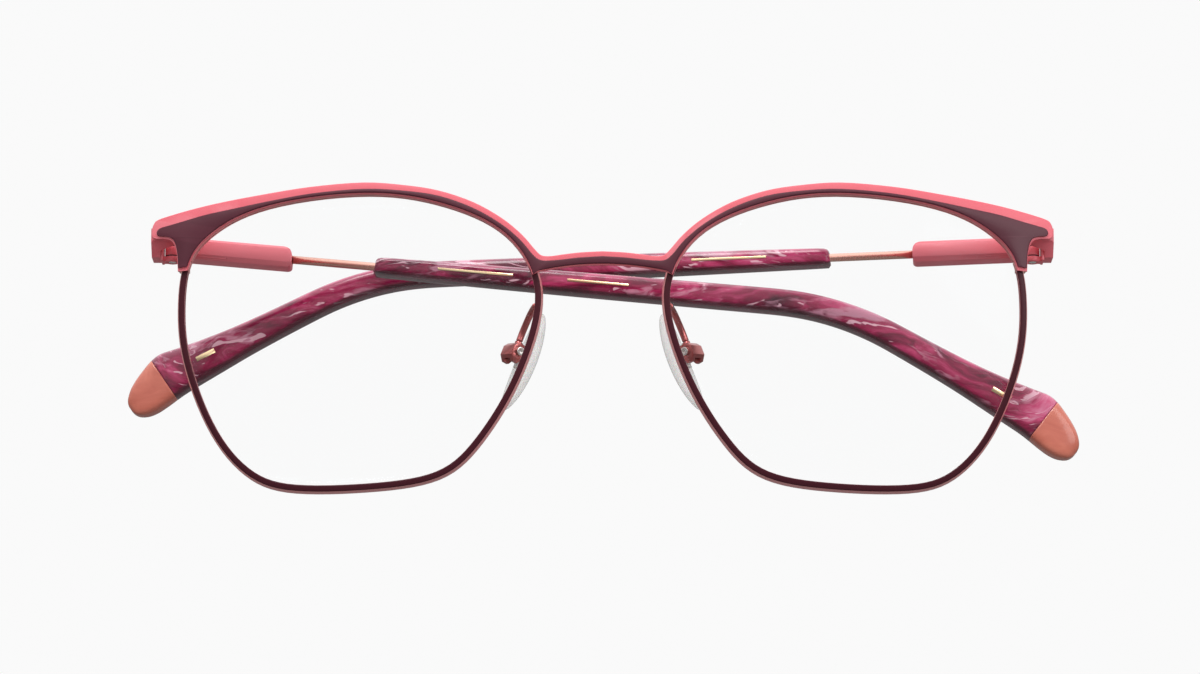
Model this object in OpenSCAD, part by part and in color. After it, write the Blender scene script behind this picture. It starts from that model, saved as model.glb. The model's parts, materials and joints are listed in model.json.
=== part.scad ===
// Folding metal eyeglasses with a laminated brow plate.
// Millimetres. +X towards the wearer's left, +Y back towards the head, +Z up.
// The origin is the middle of the nose opening, on the lens centre line,
// in the plane that touches the front of both lenses. The temples are drawn folded.

/* [Lenses] */
// Distance from the nose opening's centre to a lens centre
lens_x = 35.25; // [33:0.25:38]
// Width of the lens at its box
lens_w = 51.5; // [48:0.5:55]
// Height of the lens at its box
lens_h = 43; // [39:0.5:46]
// Radius of the lens's front surface
lens_r = 132; // [110:1:200]
// Thickness of the lens
lens_t = 1.5; // [1.2:0.1:1.6]
// Thickness of the flange that sits in the rim's groove
bevel_t = 0.6; // [0.4:0.05:0.65]
// Angle that each lens turns back towards its temple
face_form = 4; // [2:0.5:6]

/* [Rims] */
// Width of the rim's front face
rim_front_w = 0.92; // [0.8:0.02:1.1]
// Width of the rim at its back
rim_back_w = 1.18; // [1.1:0.02:1.4]
// Depth of the rim, front to back
rim_depth = 1.94; // [1.8:0.02:2.2]
// Depth of the groove that holds the lens
groove_depth = 0.5; // [0.4:0.05:0.5]
// Slit in the rim at its closing block
rim_slit = 0.15; // [0.1:0.05:0.3]

/* [Brow plate] */
// Thickness of the lower sheet
plate_t = 0.6; // [0.4:0.05:0.8]
// Thickness of the raised upper sheet
face_t = 0.3; // [0.2:0.05:0.5]
// Height of the bridge's lower edge at the middle
bridge_low = 10.62; // [9.5:0.1:11]
// Depth of the bar behind the bridge
bridge_bar_t = 1.2; // [0.8:0.1:1.6]

/* [Hinges] */
// Distance from the middle to a hinge axis
hinge_x = 63; // [62.5:0.25:64]
// Distance of the hinge axis behind the lens plane
hinge_y = 9.5; // [9:0.25:10.5]
// Height of the hinge's centre above the lens centre line
hinge_z = 13.8; // [13.4:0.1:14.2]
// Backward lean of the hinge axes
hinge_tilt = 8.5; // [6:0.5:10]
// Radius of the hinge knuckles
knuckle_r = 1.1; // [1:0.05:1.2]
// Radius of the hinge screw's shank
screw_r = 0.55; // [0.45:0.05:0.6]

/* [Temples] */
// Length of a temple along its middle line, from the hinge axis
temple_l = 138.5; // [134:0.5:142]
// Droop of the wearer's right temple from its hinge's square
droop_right = 4.9; // [4.8:0.1:5.4]
// Droop of the wearer's left temple from its hinge's square
droop_left = 0.9; // [0.8:0.1:1.4]
// Angle that the folded right temple stands off from the rims
stand_off_right = 0.8; // [0.7:0.1:0.9]
// Angle that the folded left temple stands off, resting over the right one
stand_off_left = 5.3; // [5.2:0.1:5.8]
// Distance from the hinge axis to the start of the ear bend
bend_start = 88.5; // [86:0.5:90]
// Radius of the ear bend
bend_r = 42; // [36:1:45]
// Angle of the ear bend
bend_angle = 25.2; // [24:0.1:26]
// Thickness of a temple, side to side
temple_t = 3.8; // [3.4:0.1:4]
// Length of the metal block at the hinge
block_l = 15.5; // [14:0.5:17]
// Height of the metal block
block_h = 3; // [2.6:0.1:3.4]
// Radius of the temple's core wire
wire_r = 0.6; // [0.5:0.05:0.7]
// Length of bare wire between the block and the sleeve
wire_bare = 12.2; // [8:0.2:15]
// Length of the end tip
tip_l = 6.6; // [5:0.2:7]

/* [Nose pads] */
// Length of a nose pad
pad_l = 15.6; // [14:0.1:16]
// Width of a nose pad
pad_w = 7.4; // [6.5:0.1:8]
// Thickness of a nose pad
pad_t = 1.8; // [1.4:0.1:2]
// Lean of the pad's long axis from upright
pad_lean = 27; // [24:0.5:28]
// Turn of the pad's face from the side of the nose
pad_splay = 19; // [16:1:22]
// Turn of the screw's axis from straight back
box_splay = 32; // [30:1:34]

/* [Hidden] */

RIGHT = -1;
LEFT = 1;
eps = 0.02;
$fn = 48;

// ---- Lens outline: a smooth closed curve through its key points, as shares of the box
rim_points = [[0.502, 0.242], [0.484, 0.549], [0.411, 0.756], [0.254, 0.922], [-0.015, 0.997],
    [-0.227, 0.930], [-0.398, 0.751], [-0.491, 0.462], [-0.498, 0.120], [-0.432, -0.328],
    [-0.335, -0.699], [-0.226, -0.916], [-0.044, -0.995], [0.174, -1.001], [0.306, -0.892],
    [0.409, -0.598], [0.484, -0.139]];
outline = [for (p = rim_points) [lens_x + p[0] * lens_w, p[1] * lens_h / 2]];
outline_n = len(outline);
rim_steps = 112;
lens_steps = 80;
// The rim is split beside the hinge, at this place along the outline
split_t = 1;

// ---- Sections, measured back from the lens's middle surface
rim_front_v = -rim_depth / 2;
rim_back_v = rim_depth / 2;
rim_edge = 0.12;
groove_w = bevel_t + 0.12;
plate_back_v = rim_front_v - 0.03;
plate_front_v = plate_back_v - plate_t;
face_back_v = plate_front_v - eps;
face_front_v = face_back_v - face_t;
sheet_chamfer = 0.12;

// ---- Hinge and temple
knuckle_h = 0.75;
tongue_h = 1.3;
washer_h = 0.16;
knuckle_z = tongue_h / 2 + washer_h + 2 * eps;
hinge_h = 2 * (knuckle_z + knuckle_h);
wall_x = knuckle_r + 0.5;
lug_t = 1.3;
temple_out = wall_x + lug_t;
temple_mid = temple_out - temple_t / 2;
temple_rise = 0.7;
block_start = 2;
block_end = block_start + block_l;
sleeve_start = block_end + wire_bare;
bend_l = bend_r * bend_angle * PI / 180;
tip_start = temple_l - tip_l;
wire_end = temple_l - 18;
ring_n = 20;
channel_r = wire_r + 0.08;

// ---- Nose pads
pad_x = 12.9;
pad_y = 8;
pad_z = -1.1;
pad_gap = 1.55;
pad_drop = -0.6;
pad_pitch = 12;
box_w = 3;
cheek_t = 0.7;
pad_screw_r = 0.34;

// ---------------------------------------------------------------- curves

// Control points that make a closed cubic curve pass through the points of p
function fit(p, c, passes) = passes == 0 ? c : fit(p, [for (i = [0 : len(p) - 1])
    (6 * p[i] - c[(i + len(p) - 1) % len(p)] - c[(i + 1) % len(p)]) / 4], passes - 1);
outline_ctrl = fit(outline, outline, 8);

function cubic(a, b, c, d, f) = ((1 - f) * (1 - f) * (1 - f) * a
    + (3 * f * f * f - 6 * f * f + 4) * b
    + (-3 * f * f * f + 3 * f * f + 3 * f + 1) * c + f * f * f * d) / 6;

function outline_at(t) = let (w = t - floor(t / outline_n) * outline_n, i = floor(w))
    cubic(outline_ctrl[(i + outline_n - 1) % outline_n], outline_ctrl[i % outline_n],
        outline_ctrl[(i + 1) % outline_n], outline_ctrl[(i + 2) % outline_n], w - i);

function unit(v) = v / norm(v);
// Outward direction of the outline, which runs anticlockwise from the temple side
function outline_out(t) = let (d = unit(outline_at(t + 0.02) - outline_at(t - 0.02))) [d[1], -d[0]];
// A point a distance u outside the outline at t
function rim_at(t, u) = outline_at(t) + u * outline_out(t);

// Smooth curve through open points
function through(p, s) = let (i = min(floor(s), len(p) - 2), f = s - i,
        a = p[max(i - 1, 0)], b = p[i], c = p[i + 1], d = p[min(i + 2, len(p) - 1)])
    b + 0.5 * f * (c - a + f * (2 * a - 5 * b + 4 * c - d + f * (3 * (b - c) + d - a)));

// ---- Front surface: the lens sphere, carried smoothly across the bridge
sphere_x = lens_x - lens_r * sin(face_form);
join_x = 12;
function sag(x, z) = lens_r - sqrt(lens_r * lens_r - pow(x - sphere_x, 2) - z * z);
function sag_slope(x) = (x - sphere_x) / lens_r;
function front_y(x, z) = abs(x) >= join_x ? sag(abs(x), z)
    : sag(join_x, z) + sag_slope(join_x) * (x * x - join_x * join_x) / (2 * join_x);
function on_front(p, v) = [p[0], front_y(p[0], p[1]) + v, p[1]];

// ---------------------------------------------------------------- solids from rings

// Triangles between n rings of m points; the rings close on themselves
function skin(n, m, first = 0) = [for (i = [0 : n - 2], j = [0 : m - 1], side = [0, 1])
    let (a = first + i * m + j, b = first + i * m + (j + 1) % m)
    side == 0 ? [a, a + m, b] : [b, a + m, b + m]];
function flip(faces) = [for (f = faces) [f[0], f[2], f[1]]];
function fan(first, corners) = [for (j = [1 : len(corners) - 2])
    [first + corners[0], first + corners[j], first + corners[j + 1]]];
function flat(lists) = [for (l = lists, e = l) e];
function count(m) = [for (j = [0 : m - 1]) j];

// A solid skinned over rings, closed at both ends.
// caps lists the convex pieces of a section that isn't convex itself.
module skinned(rings, caps = undef) {
    n = len(rings);
    m = len(rings[0]);
    ends = is_undef(caps) ? [count(m)] : caps;
    polyhedron(flat(rings), concat(skin(n, m),
        flat([for (c = ends) concat(fan(0, c), flip(fan((n - 1) * m, c)))])));
}

module mirrored(side) {
    mirror([side < 0 ? 1 : 0, 0, 0]) children();
}

// ---------------------------------------------------------------- rims and lenses

rim_section = [[-groove_depth, -groove_w / 2], [-groove_depth, rim_front_v + rim_edge],
    [rim_edge - groove_depth, rim_front_v], [rim_front_w - groove_depth - rim_edge, rim_front_v],
    [rim_front_w - groove_depth, rim_front_v + rim_edge],
    [rim_back_w - groove_depth, rim_back_v - 2 * rim_edge],
    [rim_back_w - groove_depth - rim_edge, rim_back_v],
    [rim_edge - groove_depth, rim_back_v], [-groove_depth, rim_back_v - rim_edge],
    [-groove_depth, groove_w / 2], [0, groove_w / 2], [0, -groove_w / 2]];

// The section's parts in front of, outside and behind the groove
rim_caps = [[11, 0, 1, 2, 3, 4], [11, 4, 5, 10], [10, 5, 6, 7, 8, 9]];

function rim_ring(t) = [for (s = rim_section) on_front(rim_at(t, s[0]), s[1])];

// Swept wire with a lens groove, split beside the hinge
module rim(side) {
    slit = rim_slit / norm(outline_at(split_t + 0.5) - outline_at(split_t - 0.5));
    color("#5a2f3c") mirrored(side) skinned([for (i = [0 : rim_steps])
        rim_ring(split_t + slit / 2 + i * (outline_n - slit) / rim_steps)], rim_caps);
}

module lens_slab(inset, thick) {
    intersection() {
        translate([sphere_x, lens_r, 0]) difference() {
            sphere(lens_r + thick / 2, $fn = 256);
            sphere(lens_r - thick / 2, $fn = 256);
        }
        translate([0, 12, 0]) rotate([90, 0, 0]) linear_extrude(14)
            polygon([for (i = [0 : lens_steps - 1]) rim_at(i * outline_n / lens_steps, -inset)]);
    }
}

// Lens with a thin flange all round that sits in the rim's groove
module lens(side) {
    color("#f4f6f8", 0.35) mirrored(side) union() {
        lens_slab(groove_depth + 0.05, lens_t);
        lens_slab(0.11, bevel_t);
    }
}

// ---------------------------------------------------------------- brow plate

// Ribs from the bridge's middle to the leg beside the hinge: place along the outline of the
// inner edge, the outer edge's x and z, and the x and z of the raised sheet's outer edge
lip = -0.42;
nose_end = 7.1;
nose_tab = nose_end + 0.25;
bridge_mid = nose_tab + 1;
temple_end = 0.75;
bridge_half = 9.3;
bridge_arch = 1.1;
// Share of a sheet's inward step that the bridge's lower edge takes
bridge_share = 1.2;
brow_ribs = [[bridge_mid, 0, 12.65, 0, 11.89], [bridge_mid - 0.35, 3.2, 12.48, 3.22, 11.69],
    [bridge_mid - 0.65, 5.8, 12.15, 5.89, 11.37], [nose_tab, 7.5, 11.9, 7.75, 11.2],
    [nose_end, 8.8, 12.0, 9.05, 11.3], [6.85, 9.75, 12.85, 10.1, 12.1],
    [6.5, 11.65, 15.05, 11.9, 14.25], [6.0, 14.55, 17.45, 14.8, 16.65],
    [5.5, 18.7, 19.8, 18.85, 18.95], [5.0, 23.7, 21.5, 23.68, 20.67],
    [4.5, 28.7, 22.32, 28.67, 21.42], [4.0, 34.6, 22.75, 34.55, 21.74],
    [3.5, 42.4, 22.2, 42.05, 21.17], [3.0, 49.1, 21.25, 48.69, 20.09],
    [2.6, 54.3, 20.42, 53.6, 19.17], [2.3, 58.6, 19.6, 57.7, 18.4], [2.1, 62.3, 18.72, 61.2, 17.5],
    [1.98, 64.75, 18.0, 63.3, 16.97], [1.92, 65.4, 17.4, 64.3, 16.72],
    [1.86, 65.68, 16.5, 64.8, 16.35], [1.8, 65.66, 15.6, 64.9, 15.85],
    [1.76, 65.25, 15.2, 64.55, 15.5], [1.72, 64.0, 15.12, 63.6, 15.42],
    [1.64, 62.9, 14.85, 62.65, 15.1], [1.55, 62.3, 14.2, 62.12, 14.35],
    [1.4, 61.95, 13.2, 61.83, 13.25], [1.2, 61.78, 12.1, 61.68, 12.1],
    [temple_end + 0.09, 61.68, 10.66, 61.6, 10.66], [temple_end, 61.65, 10.15, 61.57, 10.15]];
rib_last = len(brow_ribs) - 1;
rib_steps = 4;

// Inner edge of the plate: the rim's inner lip, the tab's end, then the bridge's lower edge
function brow_inner(t, out) = t <= nose_end ? rim_at(t, lip + out)
    : t <= nose_tab ? let (f = (t - nose_end) / (nose_tab - nose_end))
        (1 - f) * rim_at(nose_end, lip + out) + f * bridge_edge(bridge_half, out)
    : bridge_edge((bridge_mid - t) / (bridge_mid - nose_tab) * bridge_half, out);
function bridge_edge(x, out) =
    [x, bridge_low + bridge_share * out - bridge_arch * pow(x / bridge_half, 2)];

// A sheet's section: s is the place along the ribs, out moves the inner edge outwards,
// and raised picks the outer edge
function sheet_ring(s, mirror_x, back_v, front_v, out, raised) =
    let (rib = through(brow_ribs, s), inner = brow_inner(rib[0], out),
        outer = raised ? [rib[3], rib[4]] : [rib[1], rib[2]],
        mid = (inner + outer) / 2, cut = sheet_chamfer * unit(outer - inner),
        ring = [[inner, back_v], [mid, back_v], [outer, back_v],
            [outer, front_v + sheet_chamfer], [outer - cut, front_v], [mid, front_v],
            [inner + cut, front_v], [inner, front_v + sheet_chamfer]])
    [for (p = ring) on_front([mirror_x * p[0][0], p[0][1]], p[1])];

// Both halves of a sheet as one solid, from one leg over the bridge to the other
module brow_sheet(back_v, front_v, out, raised, last) {
    n = last * rib_steps;
    skinned([for (i = [-n : n]) sheet_ring(abs(i) / rib_steps, i < 0 ? -1 : 1,
        back_v, front_v, out, raised)]);
}

module brow_plate() {
    color("#f47c86") brow_sheet(plate_back_v, plate_front_v, 0, false, rib_last);
}

module brow_face() {
    color("#5a303e") brow_sheet(face_back_v, face_front_v, 0.17, true, rib_last - 1);
}

// Bar soldered between the rims behind the bridge
module bridge_bar() {
    half = 8.1;
    steps = 24;
    low = 0.35;
    high = 11.75;
    color("#f47c86") skinned([for (i = [-steps : steps]) let (x = i * half / steps)
        [for (p = [[bridge_edge(x, 0)[1] + low, plate_back_v + 0.03],
                [bridge_edge(x, 0)[1] + low, plate_back_v + bridge_bar_t],
                [high, plate_back_v + bridge_bar_t], [high, plate_back_v + 0.03]])
            on_front([x, p[0]], p[1])]]);
}

// ---------------------------------------------------------------- end pieces and rim locks

lug_y = 5.9;
lug_end = hinge_y + block_start - 0.25;

// Lug that turns back from the plate's end to the hinge: its plan met by its side view.
// Its front follows the plate's back, and its end is square to the hinge axis
module end_piece(side) {
    out_x = hinge_x + temple_out;
    in_x = hinge_x + wall_x;
    top = 15.9;
    low = 12.4;
    function end_y(z) = lug_end + (z - hinge_z) * tan(hinge_tilt);
    color("#e8707c") mirrored(side) intersection() {
        linear_extrude(40) polygon([[62.2, lug_y - 0.65], [out_x - 0.7, lug_y + 0.25],
            [out_x, lug_y + 0.95], [out_x, lug_end + 2], [in_x, lug_end + 2],
            [in_x, lug_y + 1.6], [62.2, lug_y + 1.1]]);
        translate([60, 0, 0]) rotate([90, 0, 90]) linear_extrude(10) polygon([[lug_y - 1, 15.05],
            [lug_y - 1, 16.9], [lug_y + 1, 16.9], [end_y(top), top], [end_y(low), low],
            [lug_y + 2.1, 12.8], [lug_y + 1.1, 14.6], [lug_y + 0.7, 15.05]]);
    }
}

lock_x = 61;
lock_y = 7.3;
lock_z = outline_at(split_t)[1];
lock_w = 1.5;
lock_d = 1.6;
lock_half = 1.3;
lock_gap = 0.2;
rim_screw_r = 0.4;

// Two halves that a screw draws together, closing the rim on its lens
module rim_lock(side) {
    color("#e39a8c") mirrored(side) difference() {
        for (end = [-1, 1]) {
            translate([lock_x, lock_y, lock_z + end * (lock_half + lock_gap) / 2])
                cube([lock_w, lock_d, lock_half], center = true);
        }
        translate([lock_x, lock_y, lock_z]) cylinder(r = rim_screw_r + 0.03, h = 8, center = true);
    }
}

// A screw with a slotted cheese head, standing on its tip at the origin
module slotted_screw(shank_r, shank_l, head_r, head_h) {
    slot_w = 0.3 * head_r;
    slot_d = 0.45 * head_h;
    difference() {
        union() {
            cylinder(r = shank_r, h = shank_l + head_h / 2);
            translate([0, 0, shank_l]) cylinder(r = head_r, h = head_h);
        }
        translate([-head_r - 1, -slot_w / 2, shank_l + head_h - slot_d])
            cube([2 * head_r + 2, slot_w, slot_d + 1]);
    }
}

module rim_screws() {
    shank_l = 2 * lock_half + lock_gap + eps;
    color("#d9b49a") for (side = [RIGHT, LEFT]) {
        mirrored(side) translate([lock_x, lock_y, lock_z - shank_l / 2])
            slotted_screw(rim_screw_r, shank_l, 0.62, 0.4);
    }
}

// ---------------------------------------------------------------- hinges

// Frame on a hinge axis: +x along the folded temple, +y to the temple's outer side
module at_hinge(side) {
    mirror([side > 0 ? 1 : 0, 0, 0]) translate([-hinge_x, hinge_y, hinge_z])
        rotate([-hinge_tilt, 0, 0]) children();
}

// Two knuckles on a plate that is soldered to the end piece
module hinge_front(side) {
    head_r = 0.95;
    head_h = 0.4;
    color("#e8707c") at_hinge(side) difference() {
        union() {
            for (z = [knuckle_z, -knuckle_z - knuckle_h]) {
                translate([0, 0, z]) cylinder(r = knuckle_r, h = knuckle_h);
                translate([-wall_x + eps, -0.8, z]) cube([wall_x - eps, 1.6, knuckle_h]);
            }
            translate([-wall_x + eps, -1.4, -hinge_h / 2]) cube([0.36, 2.6, hinge_h]);
        }
        translate([0, 0, -hinge_h]) cylinder(r = screw_r + 0.03, h = 2 * hinge_h);
        translate([0, 0, hinge_h / 2 - head_h]) cylinder(r = head_r + 0.04, h = head_h + 1);
    }
}

module hinge_washers() {
    color("#3a2c2c") for (side = [RIGHT, LEFT], z = [1, -1]) {
        at_hinge(side) translate([0, 0, z * (tongue_h + washer_h + 2 * eps) / 2])
            difference() {
                cylinder(r = knuckle_r - 0.05, h = washer_h, center = true);
                cylinder(r = screw_r + 0.03, h = 1, center = true);
            }
    }
}

module hinge_screws() {
    head_h = 0.38;
    color("#e8b39c") for (side = [RIGHT, LEFT]) {
        at_hinge(side) translate([0, 0, -hinge_h / 2])
            slotted_screw(screw_r, hinge_h - head_h, 0.95, head_h);
    }
}

// ---------------------------------------------------------------- temples

// Frame of a folded temple: +x along it, z = 0 on its middle line
module on_temple(side) {
    at_hinge(side) rotate([0, 0, side > 0 ? stand_off_left : stand_off_right])
        rotate([0, side > 0 ? droop_left : droop_right, 0]) children();
}

tongue_t = 1.3;
tongue_l = 8;
// The tongue droops with the temple, so it is lower than its knuckle, which stays square
tongue_drop = 0.22;
arm_h = tongue_h - tongue_drop;

// Knuckle between the front's two, on a tongue that runs into the block
module hinge_temple(side) {
    square_up = [0, side > 0 ? -droop_left : -droop_right, 0];
    color("#e8707c") on_temple(side) difference() {
        union() {
            rotate(square_up) cylinder(r = knuckle_r - 0.04, h = tongue_h, center = true);
            translate([0, -tongue_t / 2, -arm_h / 2]) cube([tongue_l, tongue_t, arm_h]);
        }
        rotate(square_up) cylinder(r = screw_r + 0.07, h = 4, center = true);
    }
}

// Metal block with soft edges, a slot for the tongue and a bore for the wire
module temple_block(side) {
    edge = 0.4;
    lower_edge = 0.6;
    in_y = temple_out - temple_t;
    top = temple_rise + block_h / 2;
    low = temple_rise - block_h / 2;
    top_corner = 1.4;
    low_corner = 0.7;
    color("#ee7d88") on_temple(side) difference() {
        intersection() {
            translate([block_start, 0, 0]) rotate([90, 0, 90]) linear_extrude(block_l)
                polygon([[in_y, low + lower_edge], [in_y + lower_edge, low],
                    [temple_out - edge, low], [temple_out, low + edge],
                    [temple_out, top - edge], [temple_out - edge, top],
                    [in_y + edge, top], [in_y, top - edge]]);
            translate([0, 10, 0]) rotate([90, 0, 0]) linear_extrude(20) {
                translate([block_start, low]) square([block_l - top_corner, block_h]);
                translate([block_start, low + low_corner])
                    square([block_l, block_h - low_corner - top_corner]);
                translate([block_start, low]) square([block_l - low_corner, low_corner]);
                translate([block_end - low_corner, low + low_corner]) circle(low_corner);
                translate([block_end - top_corner, top - top_corner]) circle(top_corner);
            }
        }
        translate([0, -tongue_t / 2 - eps, -arm_h / 2 - eps])
            cube([tongue_l + 0.1, tongue_t + 2 * eps, arm_h + 2 * eps]);
        translate([block_end - 5, temple_mid, temple_rise]) rotate([0, 90, 0])
            cylinder(r = wire_r + eps, h = 6);
    }
}

// Middle line of a temple: straight, the ear bend, then straight again; gives [x, z, slope]
function temple_at(l) = l <= bend_start ? [l, 0, 0]
    : l <= bend_start + bend_l ? let (a = (l - bend_start) * 180 / PI / bend_r)
        [bend_start + bend_r * sin(a), -bend_r * (1 - cos(a)), a]
    : let (d = l - bend_start - bend_l)
        [bend_start + bend_r * sin(bend_angle) + d * cos(bend_angle),
            -bend_r * (1 - cos(bend_angle)) - d * sin(bend_angle), bend_angle];

// Ribs of the sleeve and its tip, from the tip's joint: place along the temple, upper edge,
// lower edge and thickness. The end is deep, and cut slantwise above
joint_rib = 12;
temple_ribs = [[sleeve_start - tip_start, 1.3, -1.3, 1], [-88, 1.5, -1.5, 1],
    [-72, 1.68, -1.68, 1], [-56, 1.76, -1.76, 1], [-42, 1.8, -1.8, 1], [-34, 1.84, -1.84, 1],
    [-26, 1.94, -1.94, 1], [-19, 2.08, -2.08, 1], [-13, 2.34, -2.34, 1], [-8, 2.82, -2.74, 1],
    [-4, 3.38, -3.06, 1], [-1.7, 3.72, -3.26, 1], [0, 3.4, -3.52, 1],
    [0.28 * tip_l, 2.6, -3.85, 0.99], [0.53 * tip_l, 1.75, -4.05, 0.95],
    [0.74 * tip_l, 0.85, -3.95, 0.86], [0.9 * tip_l, -0.15, -3.5, 0.7],
    [0.975 * tip_l, -0.9, -2.95, 0.5], [tip_l, -1.45, -2.4, 0.3]];
rib_cuts = 4;
bend_steps = 9;

// Point of a section that is a distance y to the side of and z above the middle line
function section_at(l, y, z) = let (c = temple_at(l))
    [c[0] + z * sin(c[2]), temple_mid + y, temple_rise + c[1] + z * cos(c[2])];

// Section with easy upper corners and tighter lower ones, drawn in by soft on every side
upper_power = 0.6;
lower_power = 0.42;
// How much the sections lean, so that the tip's joint runs slantwise
rib_lean = 0.14;
function bulge(v, power) = sign(v) * pow(abs(v), power);
function temple_ring(s, gap = 0, soft = 0) = let (rib = through(temple_ribs, s),
        half_w = temple_t / 2 * rib[3] - soft, half_h = (rib[1] - rib[2]) / 2 - soft)
    [for (j = [0 : ring_n - 1]) let (a = (j + 0.5) * 360 / ring_n,
            power = sin(a) > 0 ? upper_power : lower_power)
        let (z = (rib[1] + rib[2]) / 2 + half_h * bulge(sin(a), power))
        section_at(tip_start + rib[0] + gap + rib_lean * z, half_w * bulge(cos(a), power), z)];
function round_ring(l, r) = [for (j = [0 : ring_n - 1])
    let (a = (j + 0.5) * 360 / ring_n)
    section_at(l, r * cos(a), r * sin(a))];
// A round rod or bore from one place to another: straight runs need only their ends
function round_run(from, to, r) = [for (l = concat([from],
    [for (i = [0 : bend_steps]) bend_start + i * bend_l / bend_steps], [to])) round_ring(l, r)];

// Acetate sleeve with a blind channel along it for the wire
module temple_sleeve(side) {
    soft = 0.35;
    outer = concat([temple_ring(0, 0, soft)], [for (i = [0 : joint_rib * rib_cuts])
        temple_ring(i / rib_cuts, i == 0 ? soft : i == joint_rib * rib_cuts ? -eps : 0)]);
    inner = round_run(sleeve_start, wire_end + 0.5, channel_r);
    n = len(outer);
    m = len(inner);
    first = n * ring_n;
    mouth = [for (j = [0 : ring_n - 1], half = [0, 1]) let (k = (j + 1) % ring_n)
        half == 0 ? [j, k, first + j] : [k, first + k, first + j]];
    faces = concat(skin(n, ring_n), flip(fan((n - 1) * ring_n, count(ring_n))),
        flip(skin(m, ring_n, first)), fan(first + (m - 1) * ring_n, count(ring_n)), mouth);
    color("#7a2348") on_temple(side) polyhedron(flat(concat(outer, inner)), faces);
}

// End tip: the slant carries on down to a rounded end
module temple_tip(side) {
    last = (len(temple_ribs) - 1) * rib_cuts;
    color("#cf7563") on_temple(side) skinned([for (i = [joint_rib * rib_cuts : last])
        temple_ring(i / rib_cuts)]);
}

// Wire from inside the block, round the ear bend to well inside the sleeve
module core_wire(side) {
    held = 4.9;
    color("#dca088") on_temple(side) skinned(round_run(block_end - held, wire_end, wire_r));
}

// Plain gold stripes on the sleeve's inner face: two slim ones and a short bar near the tip
foil_t = 0.06;
module sleeve_inlay(side) {
    face_y = -temple_t / 2 * bulge(cos(180 / ring_n), upper_power) - 0.01 - foil_t;
    color("#e8cfa0") on_temple(side) for (f = [[39, 11, 0.36], [58, 9, 0.36], [123.2, 3, 0.7]]) {
        c = temple_at(f[0]);
        translate([c[0], temple_mid + face_y, temple_rise + c[1]]) rotate([0, c[2], 0])
            translate([0, 0, -f[2] / 2]) cube([f[1], foil_t, f[2]]);
    }
}

// ---------------------------------------------------------------- nose pads

// Frame of a pad's fork: z up along it, y back along its rocking screw, -x towards the nose
module at_pad(side) {
    mirrored(side) translate([pad_x, pad_y, pad_z]) rotate([0, -pad_lean, 0])
        rotate([0, 0, -box_splay]) rotate([-pad_pitch, 0, 0]) children();
}

// The pad itself is turned a little on the end of its stem
module at_cushion(side) {
    at_pad(side) translate([-pad_gap, 0, pad_drop])
        rotate([0, 0, box_splay - pad_splay]) children();
}

// Soft pad: an egg-shaped cushion whose ends curl towards the fork
module nose_pad(side) {
    steps = 14;
    rings = [for (i = [0 : steps]) let (f = -cos(180 * i / steps),
            w = pad_w / 2 * sqrt(max(0.003, 1 - f * f)) * (1 - 0.16 * f),
            t = pad_t * (0.25 + 0.75 * sqrt(max(0, 1 - f * f))))
        [for (j = [0 : 15]) let (a = (j + 0.5) * 360 / 16)
            [-pad_t / 2 + t / 2 * bulge(cos(a), upper_power) + 0.5 * f * f,
                w * bulge(sin(a), upper_power), pad_l / 2 * f]]];
    color("#f3f1ee", 0.6) at_cushion(side) skinned(rings);
}

// Foot moulded to the pad, with the eye that the pad screw passes through
module pad_stem(side) {
    eye_r = 0.68;
    eye_w = box_w - 2 * cheek_t - 0.1;
    bar_h = 1;
    foot_t = 0.5;
    color("#ece8e2", 0.7) difference() {
        union() {
            at_pad(side) {
                rotate([90, 0, 0]) cylinder(r = eye_r, h = eye_w, center = true);
                translate([0.3 - pad_gap, -eye_w / 2 + 0.15, -bar_h / 2])
                    cube([pad_gap - 0.3, eye_w - 0.3, bar_h]);
            }
            at_cushion(side) translate([eps, -0.9, -1.3]) cube([foot_t, 1.6, 3]);
        }
        at_pad(side) rotate([90, 0, 0]) cylinder(r = pad_screw_r + 0.06, h = 5, center = true);
    }
}

// Fork on the end of the arm, holding the stem between its cheeks, with a neck for the arm
neck = [0, -0.4, 1.1];
neck_r = 0.6;
neck_l = 0.4;
module pad_box(side) {
    low = -1.75;
    inner_x = 0.76;
    color("#8c4046") at_pad(side) difference() {
        union() {
            rotate([90, 0, 0]) linear_extrude(box_w, center = true) polygon([[-0.95, -0.8],
                [-0.35, low], [0.45, low], [1.12, -0.9], [1.12, 0.5], [0.6, neck[2] + 0.05],
                [-0.55, neck[2] + 0.05], [-0.95, 0.6]]);
            translate(neck) cylinder(r = neck_r, h = neck_l);
        }
        translate([-2, cheek_t - box_w / 2, low - 1])
            cube([2 + inner_x, box_w - 2 * cheek_t, neck[2] - low + 0.6]);
        rotate([90, 0, 0]) cylinder(r = pad_screw_r + 0.03, h = 8, center = true);
    }
}

// A screw with a low round head and a round socket, its shank along -z from the origin
module pad_screws() {
    head_r = 0.62;
    head_h = 0.36;
    socket_r = 0.24;
    color("#d8d4d0") for (side = [RIGHT, LEFT]) {
        at_pad(side) translate([0, -box_w / 2 - eps, 0]) rotate([90, 0, 0]) difference() {
            union() {
                cylinder(r = head_r, h = head_h);
                translate([0, 0, -box_w]) cylinder(r = pad_screw_r, h = box_w + head_h / 2);
            }
            translate([0, 0, head_h - 0.22]) cylinder(r = socket_r, h = 1);
        }
    }
}

// Springy wire from the back of the rim, round to the fork's neck
arm_r = 0.52;
arm_path = [[9.75, 3.05, 4.9], [9.85, 4.7, 5.05], [10.4, 6.4, 4.4], [11.05, 7.6, 3.15],
    [11.7, 8.07, 1.65], [12.15, 7.95, 0.42]];
arm_steps = 30;
arm_sides = 12;

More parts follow.
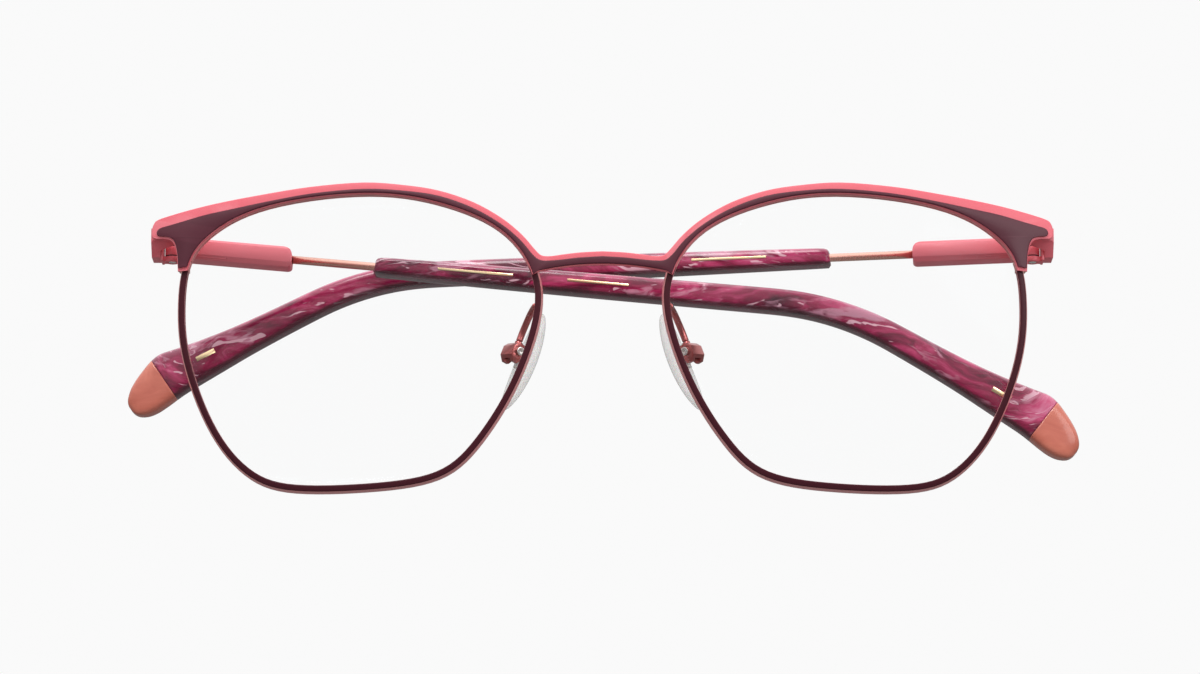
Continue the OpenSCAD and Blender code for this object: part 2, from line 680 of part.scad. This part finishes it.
module pad_arm(side) {
    last = len(arm_path) - 1;
    rings = [for (i = [0 : arm_steps]) let (s = i * last / arm_steps, p = through(arm_path, s),
            ahead = through(arm_path, min(s + 0.05, last)),
            along = unit(ahead - through(arm_path, max(s - 0.05, 0))),
            u = unit(cross(along, [1, 0, 0])), v = cross(along, u))
        [for (j = [0 : arm_sides - 1]) let (a = j * 360 / arm_sides)
            p + arm_r * (cos(a) * u + sin(a) * v)]];
    color("#8c4046") mirrored(side) skinned(rings);
}

// ---------------------------------------------------------------- assembly

brow_plate();
brow_face();
bridge_bar();
rim(RIGHT);  // rim_right
rim(LEFT);  // rim_left
lens(RIGHT);  // lens_right
lens(LEFT);  // lens_left
end_piece(RIGHT);  // end_piece_right
end_piece(LEFT);  // end_piece_left
rim_lock(RIGHT);  // rim_lock_right
rim_lock(LEFT);  // rim_lock_left
rim_screws();
hinge_front(RIGHT);  // hinge_front_right
hinge_front(LEFT);  // hinge_front_left
hinge_washers();
hinge_screws();
pad_arm(RIGHT);  // pad_arm_right
pad_arm(LEFT);  // pad_arm_left
pad_box(RIGHT);  // pad_box_right
pad_box(LEFT);  // pad_box_left
pad_screws();
pad_stem(RIGHT);  // pad_stem_right
pad_stem(LEFT);  // pad_stem_left
nose_pad(RIGHT);  // nose_pad_right
nose_pad(LEFT);  // nose_pad_left
hinge_temple(RIGHT);  // hinge_temple_right
hinge_temple(LEFT);  // hinge_temple_left
temple_block(RIGHT);  // temple_block_right
temple_block(LEFT);  // temple_block_left
core_wire(RIGHT);  // core_wire_right
core_wire(LEFT);  // core_wire_left
temple_sleeve(RIGHT);  // temple_sleeve_right
temple_sleeve(LEFT);  // temple_sleeve_left
temple_tip(RIGHT);  // temple_tip_right
temple_tip(LEFT);  // temple_tip_left
sleeve_inlay(RIGHT);  // sleeve_inlay_right
sleeve_inlay(LEFT);  // sleeve_inlay_left
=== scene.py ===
"""Folding metal eyeglasses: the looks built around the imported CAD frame. Metres."""

import json
import math

import bmesh
import bpy
import numpy as np
from mathutils import Matrix, Vector


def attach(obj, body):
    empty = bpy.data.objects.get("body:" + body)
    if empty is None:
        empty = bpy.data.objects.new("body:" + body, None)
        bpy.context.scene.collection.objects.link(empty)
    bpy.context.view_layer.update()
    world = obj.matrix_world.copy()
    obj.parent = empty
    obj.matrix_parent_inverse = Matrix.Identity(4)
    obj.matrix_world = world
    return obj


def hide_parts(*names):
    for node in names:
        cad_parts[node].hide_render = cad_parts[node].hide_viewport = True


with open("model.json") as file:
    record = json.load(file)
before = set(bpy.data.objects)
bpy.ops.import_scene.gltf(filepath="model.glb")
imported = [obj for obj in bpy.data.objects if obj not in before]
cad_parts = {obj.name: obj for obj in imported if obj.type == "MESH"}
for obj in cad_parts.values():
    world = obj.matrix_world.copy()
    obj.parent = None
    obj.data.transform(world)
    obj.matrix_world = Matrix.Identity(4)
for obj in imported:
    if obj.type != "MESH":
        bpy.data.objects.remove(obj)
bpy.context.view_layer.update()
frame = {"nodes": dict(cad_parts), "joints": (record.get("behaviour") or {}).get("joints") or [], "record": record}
MM = 0.001
NODES = frame["nodes"]
SIDES = ("right", "left")
JOINTS = {joint["name"]: joint for joint in frame["joints"]}


# ------------------------------------------------------------------ shader helpers

class Shader:
    """A small wrapper that adds nodes and links by value or by socket."""

    def __init__(self, name):
        self.material = bpy.data.materials.new(name)
        self.material.use_nodes = True
        self.tree = self.material.node_tree
        self.tree.nodes.clear()
        self.output = self.tree.nodes.new("ShaderNodeOutputMaterial")

    def add(self, kind, inputs=None, **settings):
        node = self.tree.nodes.new("ShaderNode" + kind)
        for key, value in settings.items():
            setattr(node, key, value)
        for key, value in (inputs or {}).items():
            self.set(node.inputs[key], value)
        return node

    def set(self, socket, value):
        if isinstance(value, bpy.types.NodeSocket):
            self.tree.links.new(value, socket)
        elif isinstance(value, (tuple, list)) and len(value) == 3 and socket.type == "RGBA":
            socket.default_value = (*value, 1)
        else:
            socket.default_value = value

    def math(self, operation, a, b=0.0, c=0.0, clamp=False):
        node = self.add("Math", operation=operation, use_clamp=clamp)
        for index, value in enumerate((a, b, c)):
            self.set(node.inputs[index], value)
        return node.outputs[0]

    def mix(self, factor, a, b, blend="MIX"):
        node = self.add("Mix", data_type="RGBA", blend_type=blend)
        self.set(node.inputs["Factor"], factor)
        self.set(node.inputs["A"], a)
        self.set(node.inputs["B"], b)
        return node.outputs["Result"]

    def ramp(self, factor, stops):
        node = self.add("ValToRGB", {"Fac": factor})
        ramp = node.color_ramp
        while len(ramp.elements) < len(stops):
            ramp.elements.new(0.5)
        for element, (place, colour) in zip(ramp.elements, stops):
            element.position = place
            element.color = (*colour, 1) if len(colour) == 3 else colour
        return node.outputs["Color"]

    def object_point(self):
        return self.add("TexCoord").outputs["Object"]

    def noise(self, vector, size, detail=3.0, rough=0.5, stretch=(1, 1, 1), distortion=0.0):
        """Noise whose features are about size metres across."""
        scaled = self.add("Mapping", {"Vector": vector, "Scale": tuple(k / size for k in stretch)})
        node = self.add("TexNoise", {"Vector": scaled.outputs[0], "Scale": 1.0, "Detail": detail,
                                     "Roughness": rough, "Distortion": distortion})
        return node.outputs["Fac"]

    def bump(self, height, depth, strength):
        node = self.add("Bump", {"Height": height, "Distance": depth, "Strength": strength})
        return node.outputs["Normal"]

    def surface(self, socket):
        self.tree.links.new(socket, self.output.inputs["Surface"])
        return self.material

    def principled(self, **inputs):
        names = {key.replace("_", " "): value for key, value in inputs.items()}
        return self.add("BsdfPrincipled", names).outputs[0]


def srgb(red, green, blue):
    """Linear colour from display values of 0 to 255."""
    return tuple(((v / 255 + 0.055) / 1.055) ** 2.4 if v > 10 else v / 255 / 12.92
                 for v in (red, green, blue))


def lacquer(name, base, light, rough, grain):
    """Satin paint on metal: a fine sprayed grain, faint clouding and edges worn a little paler."""
    s = Shader(name)
    point = s.object_point()
    cloud = s.noise(point, 6 * MM, 3)
    fine = s.noise(point, grain, 2, 0.6)
    edge = s.ramp(s.add("NewGeometry").outputs["Pointiness"],
                  [(0.50, (0, 0, 0)), (0.60, (1, 1, 1))])
    tint = s.mix(s.math("MULTIPLY", cloud, 0.35), base, light)
    tint = s.mix(s.math("MULTIPLY", edge, 0.45), tint, light)
    flake = s.math("MULTIPLY_ADD", fine, 0.22, 0.89)
    shade = s.add("VectorMath", {0: tint, 1: (1, 1, 1)}, operation="MULTIPLY")
    grey = s.add("CombineColor", {"Red": flake, "Green": flake, "Blue": flake})
    tint = s.mix(1.0, shade.outputs[0], grey.outputs[0], "MULTIPLY")
    roughness = s.math("MULTIPLY_ADD", cloud, 0.12, rough - 0.06)
    normal = s.bump(fine, 0.012 * MM, 0.6)
    return s.surface(s.principled(Base_Color=tint, Roughness=roughness, Normal=normal,
                                  Coat_Weight=0.08, Coat_Roughness=0.2, IOR=1.36))


def plating(name, base, dark, rough, brush=(1, 1, 1)):
    """Plated or bare metal with fine brushing and slightly uneven polish."""
    s = Shader(name)
    point = s.object_point()
    lines = s.noise(point, 0.09 * MM, 4, 0.65, stretch=brush)
    cloud = s.noise(point, 3 * MM, 2)
    tint = s.mix(s.math("MULTIPLY_ADD", lines, 0.45, -0.05, clamp=True), base, dark)
    roughness = s.math("ADD", s.math("MULTIPLY", lines, 0.14),
                       s.math("MULTIPLY_ADD", cloud, 0.1, rough - 0.12))
    return s.surface(s.principled(Base_Color=tint, Metallic=1.0, Roughness=roughness,
                                  Normal=s.bump(lines, 0.006 * MM, 0.5)))


# The rims' front is masked bare above this height, where the brow plate sits on it
MASK_TOP = 10.6 * MM
MASK_FADE = 0.4 * MM


def rim_finish():
    """Eyewires: plum lacquer on the front face, rose-gold plating on the sides and back."""
    s = Shader("rim_finish")
    point = s.object_point()
    facing = s.add("SeparateXYZ", {0: s.add("NewGeometry").outputs["True Normal"]}).outputs["Y"]
    wobble = s.noise(point, 1.5 * MM, 2)
    front = s.math("ADD", s.math("MULTIPLY", facing, -1.0), s.math("MULTIPLY", wobble, 0.1))
    height = s.add("SeparateXYZ", {0: s.add("NewGeometry").outputs["Position"]}).outputs["Z"]
    below = s.math("MULTIPLY_ADD", height, -1 / MASK_FADE, MASK_TOP / MASK_FADE, clamp=True)
    painted = s.math("MULTIPLY", s.ramp(front, [(0.52, (0, 0, 0)), (0.66, (1, 1, 1))]), below)
    grain = s.noise(point, 0.12 * MM, 3, 0.6)
    plum = s.mix(s.math("MULTIPLY", grain, 0.6), srgb(60, 20, 30), srgb(88, 38, 48))
    gold = s.mix(s.math("MULTIPLY", grain, 0.6), srgb(240, 158, 158), srgb(212, 128, 130))
    paint = s.principled(Base_Color=plum, Roughness=0.3, IOR=1.26,
                         Normal=s.bump(grain, 0.01 * MM, 0.5))
    plate = s.principled(Base_Color=gold, Metallic=0.12, Roughness=0.32,
                         Normal=s.bump(grain, 0.008 * MM, 0.5))
    blend = s.add("MixShader", {0: painted, 1: plate, 2: paint})
    return s.surface(blend.outputs[0])


def clear_lens():
    """Thin clear lens: see-through, with a faint cool coat reflection."""
    s = Shader("clear_lens")
    haze = s.noise(s.object_point(), 12 * MM, 3)
    fresnel = s.add("Fresnel", {"IOR": 1.3}).outputs[0]
    through = s.add("BsdfTransparent", {"Color": (0.998, 0.999, 0.999)}).outputs[0]
    coat = s.mix(haze, (0.60, 0.85, 0.80), (0.75, 0.78, 0.98))
    shine = s.add("BsdfGlossy", {"Color": coat, "Roughness": 0.03}).outputs[0]
    amount = s.math("MULTIPLY", fresnel, 0.12, clamp=True)
    return s.surface(s.add("MixShader", {0: amount, 1: through, 2: shine}).outputs[0])


def soft_clear(name, tint, alpha, rough):
    """Clear silicone or nylon: milky, with a soft shine, tiny surface pits and painted shade darkening the edges
    seen side-on.
    """
    s = Shader(name)
    point = s.object_point()
    pits = s.noise(point, 0.25 * MM, 3)
    cloud = s.noise(point, 2.5 * MM, 2)
    # Painted shade: towards the silhouette, where the surface is seen edge-on, the colour darkens to three
    # quarters of the tint and the cover rises.
    rim = s.math("POWER", s.add("LayerWeight", {"Blend": 0.5}).outputs["Facing"], 2.5)
    cover = s.math("ADD", s.math("MULTIPLY", rim, 0.5),
                   s.math("MULTIPLY_ADD", cloud, 0.1, alpha - 0.05), clamp=True)
    colour = s.mix(rim, s.mix(cloud, tint, tuple(0.9 * k for k in tint)),
                   tuple(0.75 * k for k in tint))
    return s.surface(s.principled(Base_Color=colour, Roughness=rough, Alpha=cover, IOR=1.41,
                                  Subsurface_Weight=0.1, Subsurface_Scale=1.5 * MM,
                                  Normal=s.bump(pits, 0.002 * MM, 0.3)))


def marbled_acetate():
    """Wine-red acetate, marbled along the temple with magenta clouds and pale lilac streaks, with painted shade on
    faces turned down and a painted highlight on faces turned up.
    """
    s = Shader("marbled_acetate")
    flow = s.add("Attribute", attribute_name="flow").outputs["Vector"]
    warp = s.noise(flow, 14 * MM, 3, 0.55, stretch=(1, 2.5, 2.5))
    swirl = s.add("VectorMath", {0: flow, 1: s.add("CombineXYZ", {
        "X": s.math("MULTIPLY_ADD", warp, 8 * MM, -4 * MM),
        "Y": s.math("MULTIPLY_ADD", warp, 5 * MM, -2.5 * MM),
        "Z": s.math("MULTIPLY_ADD", warp, 7 * MM, -3.5 * MM)}).outputs[0]},
        operation="ADD").outputs[0]
    turn = (0, math.radians(11), math.radians(4))
    skew = s.add("Mapping", {"Vector": swirl, "Rotation": turn}).outputs[0]
    clouds = s.noise(skew, 5.5 * MM, 5, 0.62, stretch=(0.32, 1.6, 1.6), distortion=0.6)
    bands = s.noise(skew, 2.2 * MM, 4, 0.6, stretch=(0.14, 1.1, 1.3), distortion=0.35)
    threads = s.noise(skew, 0.9 * MM, 2, 0.5, stretch=(0.07, 1.0, 1.1), distortion=0.15)
    base = s.ramp(clouds, [(0.28, srgb(56, 6, 28)), (0.41, srgb(98, 14, 46)),
                           (0.51, srgb(142, 30, 70)), (0.61, srgb(184, 62, 106)),
                           (0.74, srgb(210, 140, 166))])
    lilac = s.ramp(bands, [(0.57, (0, 0, 0)), (0.66, (1, 1, 1))])
    colour = s.mix(s.math("MULTIPLY", lilac, 0.6), base, srgb(206, 146, 168))
    fine = s.ramp(threads, [(0.635, (0, 0, 0)), (0.66, (1, 1, 1))])
    colour = s.mix(s.math("MULTIPLY", fine, 0.75), colour, srgb(226, 182, 196))
    up = s.add("SeparateXYZ", {0: s.add("NewGeometry").outputs["Normal"]}).outputs["Z"]
    # Painted shade: faces turned down are darkened towards a deep wine colour, standing in for the shade under the
    # temple.
    painted_underside_shade = s.ramp(s.math("MULTIPLY", up, -1.0), [(0.12, (0, 0, 0)), (0.45, (1, 1, 1))])
    colour = s.mix(s.math("MULTIPLY", painted_underside_shade, 0.8), colour, srgb(78, 34, 46))
    # Painted highlight: faces turned up are lightened towards pale pink, as if catching the light from above.
    painted_top_highlight = s.ramp(up, [(0.30, (0, 0, 0)), (0.75, (1, 1, 1))])
    colour = s.mix(s.math("MULTIPLY", painted_top_highlight, 0.3), colour, srgb(214, 150, 172))
    scuff = s.noise(flow, 0.5 * MM, 4, 0.6, stretch=(0.3, 1, 1))
    roughness = s.math("MULTIPLY_ADD", scuff, 0.1, 0.1)
    wave = s.noise(flow, 5 * MM, 2)
    return s.surface(s.principled(Base_Color=colour, Roughness=roughness, IOR=1.45, Coat_Weight=0.2,
                                  Coat_Roughness=0.06, Normal=s.bump(wave, 0.05 * MM, 0.5)))


def salmon_acetate():
    """Opaque salmon acetate with faint mottling and a polished surface."""
    s = Shader("salmon_acetate")
    flow = s.add("Attribute", attribute_name="flow").outputs["Vector"]
    cloud = s.noise(flow, 4 * MM, 4, 0.6, stretch=(0.5, 1.2, 1.2), distortion=0.5)
    speck = s.noise(flow, 0.4 * MM, 2)
    colour = s.ramp(cloud, [(0.3, srgb(184, 96, 80)), (0.55, srgb(198, 110, 92)),
                            (0.75, srgb(212, 126, 106))])
    roughness = s.math("MULTIPLY_ADD", speck, 0.1, 0.14)
    return s.surface(s.principled(Base_Color=colour, Roughness=roughness, IOR=1.45, Coat_Weight=0.2,
                                  Coat_Roughness=0.08, Normal=s.bump(cloud, 0.04 * MM, 0.5)))


coral = lacquer("coral_lacquer", srgb(222, 90, 104), srgb(238, 142, 152), 0.42, 0.12 * MM)
plum = lacquer("plum_lacquer", srgb(78, 28, 42), srgb(96, 42, 56), 0.4, 0.12 * MM)
rose = plating("rose_gold", (0.90, 0.52, 0.43), (0.66, 0.30, 0.24), 0.28, (0.35, 1, 1))
dark_rose = plating("dark_rose_plating", srgb(190, 112, 110), srgb(128, 62, 66), 0.3)
steel = plating("turned_steel", (0.80, 0.77, 0.74), (0.45, 0.42, 0.40), 0.26)
gold = plating("gold_foil", (0.92, 0.72, 0.45), (0.70, 0.50, 0.26), 0.24)
MATERIAL = {
    "coral_paint": coral, "plum_paint": plum, "rim_paint": rim_finish(),
    "rose_metal": rose, "dark_rose_metal": dark_rose,
    "screw_metal": steel, "gold_inlay": gold, "lens": clear_lens(),
    "washer_nylon": soft_clear("dark_nylon", (0.05, 0.03, 0.03), 0.95, 0.4),
    "pad_silicone": soft_clear("clear_silicone", (0.92, 0.92, 0.90), 0.40, 0.14),
    "pad_core": soft_clear("moulded_core", (0.86, 0.84, 0.80), 0.62, 0.3),
    "acetate": marbled_acetate(), "tip_acetate": salmon_acetate(),
}
SLOT = {part["node"]: part["material_slot"] for part in frame["record"]["subparts"]}


# ------------------------------------------------------------------ CAD pieces that stay

# Width of the softened edges on each kind of exact metal part
EDGE = {"temple_block": 0.14 * MM, "end_piece": 0.12 * MM, "rim_lock": 0.08 * MM,
        "hinge_front": 0.07 * MM, "hinge_temple": 0.06 * MM, "hinge_screws": 0.05 * MM,
        "rim_screws": 0.05 * MM, "pad_screws": 0.05 * MM, "pad_box": 0.09 * MM,
        "pad_stem": 0.07 * MM, "hinge_washers": 0.03 * MM, "sleeve_inlay": 0.015 * MM,
        "brow_plate": 0.05 * MM, "brow_face": 0.05 * MM, "bridge_bar": 0.15 * MM, "rim": 0.03 * MM}
# Points closer than this are one point
WELD = 0.001 * MM


def edge_width(name):
    return next((width for key, width in EDGE.items() if name.startswith(key)), 0)


def finish_node(name):
    """Welds the CAD mesh, softens its edges and gives it its material; its own vertices stay."""
    piece = NODES[name]
    piece.data.materials.clear()
    piece.data.materials.append(MATERIAL[SLOT[name]])
    weld = piece.modifiers.new("weld", "WELD")
    weld.merge_threshold = WELD
    width = edge_width(name)
    if width:
        bevel = piece.modifiers.new("soft_edges", "BEVEL")
        bevel.width = width
        bevel.segments = 2
        bevel.limit_method = "ANGLE"
        bevel.angle_limit = math.radians(30)
        bevel.harden_normals = True
    piece.data.shade_smooth()


for node_name in NODES:
    finish_node(node_name)


# ------------------------------------------------------------------ pieces built anew

def hinge_matrix(side):
    """Frame on a temple's hinge axis: +x along the folded temple, +y to its outer side."""
    joint = JOINTS[side + "_temple_fold"]
    up = Vector(joint["axis"]).normalized()
    up = up if up.z > 0 else -up
    along = Vector((1 if side == "right" else -1, 0, 0))
    out = Vector((0, 1, 0)) - up * up.y
    matrix = Matrix((along, out.normalized(), up)).transposed().to_4x4()
    matrix.translation = Vector(joint["pos_m"])
    return matrix


def refined(node, name, body, levels, crease_angle=None):
    """A smooth copy of a faceted CAD piece: triangles joined to quads, then subdivided.

    Edges that turn by more than crease_angle degrees stay sharp."""
    mesh = NODES[node].data.copy()
    mesh.materials.clear()
    work = bmesh.new()
    work.from_mesh(mesh)
    bmesh.ops.remove_doubles(work, verts=work.verts, dist=WELD)
    bmesh.ops.join_triangles(work, faces=work.faces, angle_face_threshold=math.radians(40),
                             angle_shape_threshold=math.radians(60),
                             cmp_seam=False, cmp_sharp=False)
    if crease_angle:
        layer = work.edges.layers.float.new("crease_edge")
        for edge in work.edges:
            if len(edge.link_faces) == 2 and edge.calc_face_angle(0) > math.radians(crease_angle):
                edge[layer] = 1.0
    work.to_mesh(mesh)
    work.free()
    mesh.normals_split_custom_set_from_vertices([(0, 0, 0)] * len(mesh.vertices))
    mesh.shade_smooth()
    piece = bpy.data.objects.new(name, mesh)
    bpy.context.scene.collection.objects.link(piece)
    smooth = piece.modifiers.new("smooth", "SUBSURF")
    smooth.levels = smooth.render_levels = levels
    mesh.materials.append(MATERIAL[SLOT[node]])
    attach(piece, body)
    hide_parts(node)
    return piece


# Stations along a temple for its middle line, and how near a point counts towards one
STATIONS = 40
REACH = 3 * MM
# How far the left temple's marbling is shifted, so that the two temples differ
LEFT_SHIFT = 30 * MM


def add_flow(piece, side):
    """Stores each point's place along, beside and above its temple's middle line."""
    inverse = hinge_matrix(side).inverted()
    points = np.array([inverse @ v.co for v in piece.data.vertices])
    order = np.argsort(points[:, 0])
    x, z = points[order, 0], points[order, 2]
    stations = np.linspace(x[0], x[-1], STATIONS)
    middle = np.array([z[np.abs(x - s) < REACH].mean() for s in stations])
    run = np.concatenate([[0], np.cumsum(np.hypot(np.diff(stations), np.diff(middle)))])
    slope = np.gradient(middle, stations)
    height = points[:, 2] - np.interp(points[:, 0], stations, middle)
    tilt = np.interp(points[:, 0], stations, slope)
    above = height / np.sqrt(1 + tilt ** 2)
    along = stations[0] + np.interp(points[:, 0], stations, run) + above * tilt
    flow = np.stack([along, points[:, 1], above], 1)
    if side == "left":
        flow[:, 1:] += LEFT_SHIFT
    layer = piece.data.attributes.new("flow", "FLOAT_VECTOR", "POINT")
    layer.data.foreach_set("vector", flow.astype(np.float32).ravel())


for side in SIDES:
    for part in ("temple_sleeve", "temple_tip"):
        smooth_part = refined(f"{part}_{side}", f"{part}_smooth_{side}", side + "_temple", 1, 50)
        add_flow(smooth_part, side)
    refined(f"nose_pad_{side}", f"nose_pad_soft_{side}", side + "_pad", 2)
    refined(f"pad_arm_{side}", f"pad_arm_smooth_{side}", "front", 1)


# ------------------------------------------------------------------ stage, lights and camera

def pale_floor():
    """A plain pale floor well below the glasses."""
    mesh = bpy.data.meshes.new("floor")
    half, drop = 3.0, -0.16
    corners = [(-half, -half, drop), (half, -half, drop), (half, half, drop), (-half, half, drop)]
    mesh.from_pydata(corners, [], [(0, 1, 2, 3)])
    floor = bpy.data.objects.new("floor", mesh)
    bpy.context.scene.collection.objects.link(floor)
    s = Shader("pale_floor")
    grain = s.noise(s.object_point(), 40 * MM, 3)
    colour = s.mix(grain, (0.86, 0.86, 0.86), (0.90, 0.90, 0.90))
    seen = s.add("LightPath").outputs["Is Camera Ray"]
    shade = s.mix(seen, (0.16, 0.16, 0.16), colour)
    mesh.materials.append(s.surface(s.principled(Base_Color=shade, Roughness=0.7)))


def soft_light(name, place, aim, size, power):
    light = bpy.data.lights.new(name, "AREA")
    light.shape = "DISK"
    light.size = size
    light.energy = power
    lamp = bpy.data.objects.new(name, light)
    lamp.location = place
    lamp.rotation_euler = (Vector(aim) - Vector(place)).to_track_quat("-Z", "Y").to_euler()
    bpy.context.scene.collection.objects.link(lamp)


def sky(tree, direction, stops):
    """Soft light from all round, stronger from above: stops give the height and the brightness."""
    ramp = tree.nodes.new("ShaderNodeValToRGB")
    while len(ramp.color_ramp.elements) < len(stops):
        ramp.color_ramp.elements.new(0.5)
    for element, (height, value) in zip(ramp.color_ramp.elements, stops):
        element.position = (height + 1) / 2
        element.color = (value, value, value, 1)
    lift = tree.nodes.new("ShaderNodeMath")
    lift.operation = "MULTIPLY_ADD"
    lift.inputs[1].default_value = lift.inputs[2].default_value = 0.5
    tree.links.new(direction, lift.inputs[0])
    tree.links.new(lift.outputs[0], ramp.inputs["Fac"])
    background = tree.nodes.new("ShaderNodeBackground")
    background.inputs["Strength"].default_value = SKY_TOP
    tree.links.new(ramp.outputs["Color"], background.inputs["Color"])
    return background.outputs[0]


# Brightness that a stop of 1 stands for
SKY_TOP = 1.5


def studio():
    """White surroundings as the camera sees them, and softer light from the top on the object."""
    world = bpy.data.worlds.new("studio")
    world.use_nodes = True
    tree = world.node_tree
    white = tree.nodes["Background"]
    white.inputs["Color"].default_value = (0.955, 0.955, 0.955, 1)
    split = tree.nodes.new("ShaderNodeSeparateXYZ")
    tree.links.new(tree.nodes.new("ShaderNodeTexCoord").outputs["Generated"], split.inputs[0])
    soft = sky(tree, split.outputs["Z"],
               [(-1, 0.42), (-0.2, 0.46), (0.1, 0.49), (0.5, 0.64), (1, 0.88)])
    glossy = sky(tree, split.outputs["Z"],
                 [(-1, 0.03), (-0.15, 0.10), (0.1, 0.20), (0.35, 0.55), (0.7, 1.0)])
    path = tree.nodes.new("ShaderNodeLightPath")
    result = soft
    for ray, closure in (("Is Glossy Ray", glossy), ("Is Camera Ray", white.outputs[0])):
        mix = tree.nodes.new("ShaderNodeMixShader")
        tree.links.new(path.outputs[ray], mix.inputs[0])
        tree.links.new(result, mix.inputs[1])
        tree.links.new(closure, mix.inputs[2])
        result = mix.outputs[0]
    tree.links.new(result, tree.nodes["World Output"].inputs["Surface"])
    bpy.context.scene.world = world
    bpy.context.scene.view_settings.view_transform = "Standard"
    soft_light("key", (-0.12, -0.35, 0.60), (0, 0, 0), 0.35, 2.5)
    soft_light("fill", (0.45, -0.45, 0.25), (0, 0, 0), 0.4, 1.0)


def camera():
    """Long lens, looking along +Y from a little below the lens centre line."""
    distance, below = 0.62, math.radians(7)
    frame_width = 172.8 * MM
    data = bpy.data.cameras.new("camera")
    data.sensor_width = 36
    data.lens = data.sensor_width * distance / frame_width
    data.clip_start = 0.01
    aim = Vector((-0.00036, 0, 0.0001))
    eye = bpy.data.objects.new("camera", data)
    eye.location = aim + distance * Vector((0, -math.cos(below), -math.sin(below)))
    eye.rotation_euler = (aim - eye.location).to_track_quat("-Z", "Y").to_euler()
    bpy.context.scene.collection.objects.link(eye)
    bpy.context.scene.camera = eye


pale_floor()
studio()
camera()
